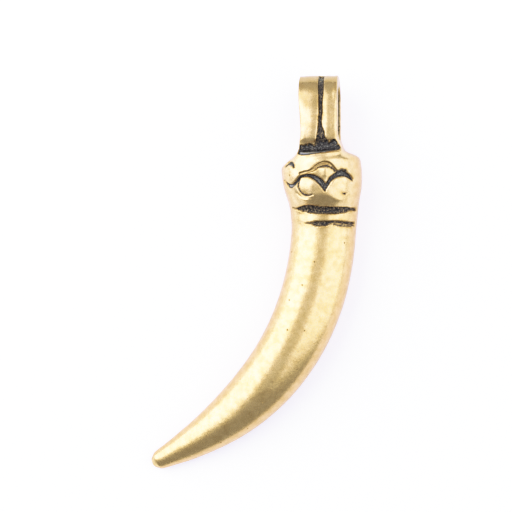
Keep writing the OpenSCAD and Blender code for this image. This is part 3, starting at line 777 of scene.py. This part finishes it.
def satinBrass():
    # Lost-wax cast brass, blackened with liver of sulphur and then polished on the high places: a warm
    # satin metal with soft, broad reflections, and dull black-grey cuts with crisp edges.
    material = bpy.data.materials.new("cast_brass_satin_polished")
    tree = emptyTree(material)
    place = addNode(tree, "ShaderNodeTexCoord").outputs["Object"]
    skin = addNode(tree, "ShaderNodeAttribute", attribute_name="unrolled").outputs["Vector"]
    angle, black, flecked, brown, sheen = [
        addNode(tree, "ShaderNodeAttribute", attribute_name=name).outputs["Fac"]
        for name in ("angle", "blackReach", "fleckedReach", "brownReach", "sheenReach")]
    clouds, smudges, crumbs, flecks, grain = [
        addNode(tree, "ShaderNodeTexNoise", {"Vector": place, "Scale": 1 / (size * mm), "Detail": detail})
        for size, detail in brass["patterns"].values()]
    across, down, _ = addNode(tree, "ShaderNodeSeparateXYZ", (skin,)).outputs
    inFrame = addNode(tree, "ShaderNodeSeparateXYZ", (place,)).outputs["Y"]
    up = addNode(tree, "ShaderNodeMath", (inFrame, 1 / mm, -foot.y / mm), operation="MULTIPLY_ADD")

    cloudy, nearBail, besideGroove, smudged, inFieldAndLipShade, bare, glints, onRidge = [
        addNode(tree, "ShaderNodeMapRange", (value, *brass[name])) for name, value in (
            ("cloudy", clouds), ("nearBail", down), ("besideGroove", across), ("smudged", smudges),
            ("inFieldAndLipShade", brown), ("bare", flecks), ("glints", flecks), ("onRidge", sheen))]

    # the sides are darker and pinker, and the strap's top is painted with shade where its arch turns away
    # from the light
    sideways = addNode(tree, "ShaderNodeMath", (angle,), operation="SINE")
    atSide = addNode(tree, "ShaderNodeMath", (sideways,), operation="ABSOLUTE")
    widening = addNode(tree, "ShaderNodeMath", (down, brass["flankGrowth"], atSide), operation="MULTIPLY_ADD")
    onFlank = addNode(tree, "ShaderNodeMapRange", (widening, *brass["onFlank"]))
    # painted shade: the strap's top is darkened over this height, coming lower on the left rib
    ragged = addNode(tree, "ShaderNodeMath", (clouds, -brass["topRagged"], up), operation="MULTIPLY_ADD")
    onLeftRib = addNode(tree, "ShaderNodeMath", (across, brass["ribEdge"]), operation="LESS_THAN")
    lowered = addNode(tree, "ShaderNodeMath", (besideGroove, onLeftRib, ragged), operation="MULTIPLY_ADD")
    inTopShade = addNode(tree, "ShaderNodeMapRange", (lowered, *brass["inTopShade"]), interpolation_type="SMOOTHSTEP")

    # polishing leaves tarnish beside the cuts, and a sunk field is brown, darkest along its edges; the same
    # brown, with its dark edge, is painted shade under the crevice's lip
    anyCut = addNode(tree, "ShaderNodeMath", (black, flecked), operation="MAXIMUM")
    besideCut = addNode(tree, "ShaderNodeMapRange", (anyCut, *brass["besideCut"]),
                        interpolation_type="SMOOTHSTEP")
    tarnished = addNode(tree, "ShaderNodeMath", (besideCut, smudged), operation="MULTIPLY")
    fromEdge = addNode(tree, "ShaderNodeMath", (brown, brass["brownEdge"]), operation="SUBTRACT")
    besideEdge = addNode(tree, "ShaderNodeMath", (fromEdge,), operation="ABSOLUTE")
    onBrownEdge = addNode(tree, "ShaderNodeMapRange", (besideEdge, *brass["onBrownEdge"]))
    browned = addNode(tree, "ShaderNodeMath", (inFieldAndLipShade, onBrownEdge), operation="MAXIMUM")

    # the casting's pits, each a dark red-brown spot
    inPit = addNode(tree, "ShaderNodeValue")
    for pitAcross, pitDown, radius in brass["pits"]:
        away = addNode(tree, "ShaderNodeVectorMath", (skin, (pitAcross, pitDown, 0)), operation="DISTANCE")
        near = addNode(tree, "ShaderNodeMapRange", (away, radius, radius * brass["pitCore"]))
        inPit = addNode(tree, "ShaderNodeMath", (inPit, near), operation="MAXIMUM")

    # the black's broken edge, with flecks of bare metal in the bands
    crumbly = addNode(tree, "ShaderNodeMath", (crumbs, 0.5), operation="SUBTRACT")
    inside = []
    for reach, broken, share in ((black, "blackBroken", "inBlack"),
                                 (flecked, "fleckedBroken", "inFlecked")):
        edge = addNode(tree, "ShaderNodeMath", (crumbly, brass[broken], reach), operation="MULTIPLY_ADD")
        inside.append(addNode(tree, "ShaderNodeMapRange", (edge, *brass[share])))
    inBlack, inFlecked = inside
    speckled = addNode(tree, "ShaderNodeMath", (inFlecked, bare), operation="MULTIPLY")
    dark = addNode(tree, "ShaderNodeMath", (inBlack, speckled), operation="MAXIMUM")
    # painted glints: the black is greyed towards a grey-blue at random specks and along the ridges
    greyed = addNode(tree, "ShaderNodeMath", (glints, onRidge), operation="MAXIMUM")

    # each colour lies over those before it
    colour = linear(brass["colour"])
    for share, name in ((cloudy, "warmer"), (nearBail, "pale"), (onFlank, "flank"), (inTopShade, "shadedTopColour"),
                        (tarnished, "tarnish"), (browned, "brown"), (inPit, "brown")):
        colour = addNode(tree, "ShaderNodeMix", (share, colour, linear(brass[name])), data_type="RGBA")
    soot, glint = linear(brass["black"]), linear(brass["glint"])
    blackWithGlints = addNode(tree, "ShaderNodeMix", (greyed, soot, glint), data_type="RGBA")
    colour = addNode(tree, "ShaderNodeMix", (dark, colour, blackWithGlints), data_type="RGBA")

    # lines from polishing, along the tusk, and a grain too fine for the mesh
    combed = addNode(tree, "ShaderNodeVectorMath", (skin, (*brass["lineSize"], 1)), operation="DIVIDE")
    lines = addNode(tree, "ShaderNodeTexNoise", {"Vector": combed, "Scale": 1, "Detail": 2})
    coarse = addNode(tree, "ShaderNodeMath", (crumbs, dark), operation="MULTIPLY")
    height = grain
    for part, name in ((lines, "lines"), (inPit, "pitRelief"), (coarse, "crumbRelief")):
        height = addNode(tree, "ShaderNodeMath", (part, brass[name], height), operation="MULTIPLY_ADD")
    bump = addNode(tree, "ShaderNodeBump", {
        "Strength": 1, "Distance": brass["bumpHeight"] * mm, "Height": height})
    satin = addNode(tree, "ShaderNodeMapRange", (grain, 0, 1, *brass["roughness"]))
    roughness = addNode(tree, "ShaderNodeMix", (dark, satin, brass["blackRoughness"]))
    metallic = addNode(tree, "ShaderNodeMapRange", (dark, 0, 1, 1, brass["blackMetallic"]))
    shader = addNode(tree, "ShaderNodeBsdfPrincipled", {
        "Base Color": colour, "Roughness": roughness, "Metallic": metallic, "Normal": bump})
    addNode(tree, "ShaderNodeOutputMaterial", {"Surface": shader})
    return material


values = {"Level": surface["level"], "Material": satinBrass()}
values.update({label: float(surface[name]) for label, name in carvingSizes.items()})
for label, cut in relief.items():
    values[label] = strokePiece("strokes_" + label.lower().replace(" ", "_"), cut["strokes"])
    values.update({label + " " + part.title(): float(cut[part]) for part in ("depth", "wall", "ragged")})
runTree(pendant, carvingTree(), values)
for label in relief:
    bpy.data.objects.remove(values[label])
print("relief carved:", sum(len(face.vertices) - 2 for face in pendant.data.polygons), "triangles")

pendant.data.transform(Matrix.Translation(foot) @ Matrix.Scale(mm, 4))
pendant.data.update()
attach(pendant, "root")
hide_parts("pendant")
print("casting set in the frame")

# in metres and degrees
studio = {
    "floorSize": 3.0,
    "floor": "#f2f2f3",
    "floorRoughness": 0.6,
    "glow": "#e9f1fc",  # the table is lit from below too
    "glowStrength": 0.41,
    "room": "#ffffff",
    "roomStrength": 0.36,
    # azimuth from the right, angle from overhead, distance, breadth up and down, breadth round, radiance
    "softboxes": {
        "left_softbox": (161.5, 49.5, 0.6, 0.9, 0.73, 2.3),
        "right_softbox": (0, 48.5, 0.6, 0.9, 0.8, 1.7),
        "ceiling_softbox": (180, 0.5, 0.6, 0.25, 0.5, 0.42),
        "back_softbox": (90, 52, 0.6, 0.7, 0.9, 0.55),
    },
    # how the picture takes the light, in linear values, and then the blue alone
    "whiteLevel": 1.65,
    "tone": {0: 0, 0.25: 0.25, 0.5: 0.48, 0.62: 0.578, 0.76: 0.688, 0.89: 0.776, 1.02: 0.847, 1.15: 0.905,
             1.3: 0.953, 1.45: 0.98, 1.65: 1},
    "blueTone": {0: 0, 0.06: 0.054, 0.14: 0.116, 0.2: 0.184, 0.28: 0.288, 0.41: 0.49, 0.54: 0.655, 0.7: 0.793,
                 1: 1},
}
view = {
    "aim": (0.128 * mm, 2.645 * mm, 4.5 * mm),
    "tilt": 7,  # from overhead towards the right
    "distance": 0.274,
    "field": 0.07314,  # what the picture takes in at the aim
    "sensor": 36,  # mm
    "nearest": 0.01,
}


def tableAndRoom():
    half = studio["floorSize"] / 2
    table = newPiece("table", [(-half, -half, 0), (half, -half, 0), (half, half, 0), (-half, half, 0)],
                     faces=[(0, 1, 2, 3)])
    # plain white acrylic, smooth and without a visible gloss
    material = bpy.data.materials.new("white_acrylic_table")
    tree = emptyTree(material)
    shader = addNode(tree, "ShaderNodeBsdfPrincipled", {
        "Base Color": linear(studio["floor"]), "Roughness": studio["floorRoughness"],
        "Emission Color": linear(studio["glow"]), "Emission Strength": studio["glowStrength"]})
    addNode(tree, "ShaderNodeOutputMaterial", {"Surface": shader})
    table.data.materials.append(material)
    world = bpy.data.worlds.new("white_room")
    bpy.context.scene.world = world
    tree = emptyTree(world)
    light = addNode(tree, "ShaderNodeBackground", (linear(studio["room"]), studio["roomStrength"]))
    addNode(tree, "ShaderNodeOutputWorld", {"Surface": light})


def softbox(name, azimuth, fromOverhead, distance, upDown, around, radiance):
    lamp = bpy.data.lights.new(name, "AREA")
    lamp.shape = "RECTANGLE"
    lamp.size = upDown
    lamp.size_y = around
    lamp.energy = radiance * math.pi * upDown * around
    box = bpy.data.objects.new(name, lamp)
    box.rotation_euler = (0, math.radians(fromOverhead), math.radians(azimuth))
    box.location = box.rotation_euler.to_matrix() @ Vector((0, 0, distance))
    bpy.context.scene.collection.objects.link(box)


def overheadCamera():
    lens = bpy.data.cameras.new("camera")
    lens.sensor_width = view["sensor"]
    lens.lens = view["sensor"] * view["distance"] / view["field"]
    lens.clip_start = view["nearest"]
    camera = bpy.data.objects.new("camera", lens)
    tilt = math.radians(view["tilt"])
    back = Vector((math.sin(tilt), 0, math.cos(tilt)))
    camera.location = Vector(view["aim"]) + back * view["distance"]
    camera.rotation_euler = (0, tilt, 0)
    bpy.context.scene.collection.objects.link(camera)
    bpy.context.scene.camera = camera


def setTone():
    # the highlights roll off softly, and the table still comes out pure white
    picture = bpy.context.scene.view_settings
    picture.view_transform = "Standard"
    picture.use_curve_mapping = True
    mapping = picture.curve_mapping
    mapping.white_level = (studio["whiteLevel"],) * 3
    drawCurve(mapping.curves[3], studio["tone"], studio["whiteLevel"])
    drawCurve(mapping.curves[2], studio["blueTone"], 1)
    mapping.update()


tableAndRoom()
for name, place in studio["softboxes"].items():
    softbox(name, *place)
overheadCamera()
setTone()
print("table, lights and camera set")
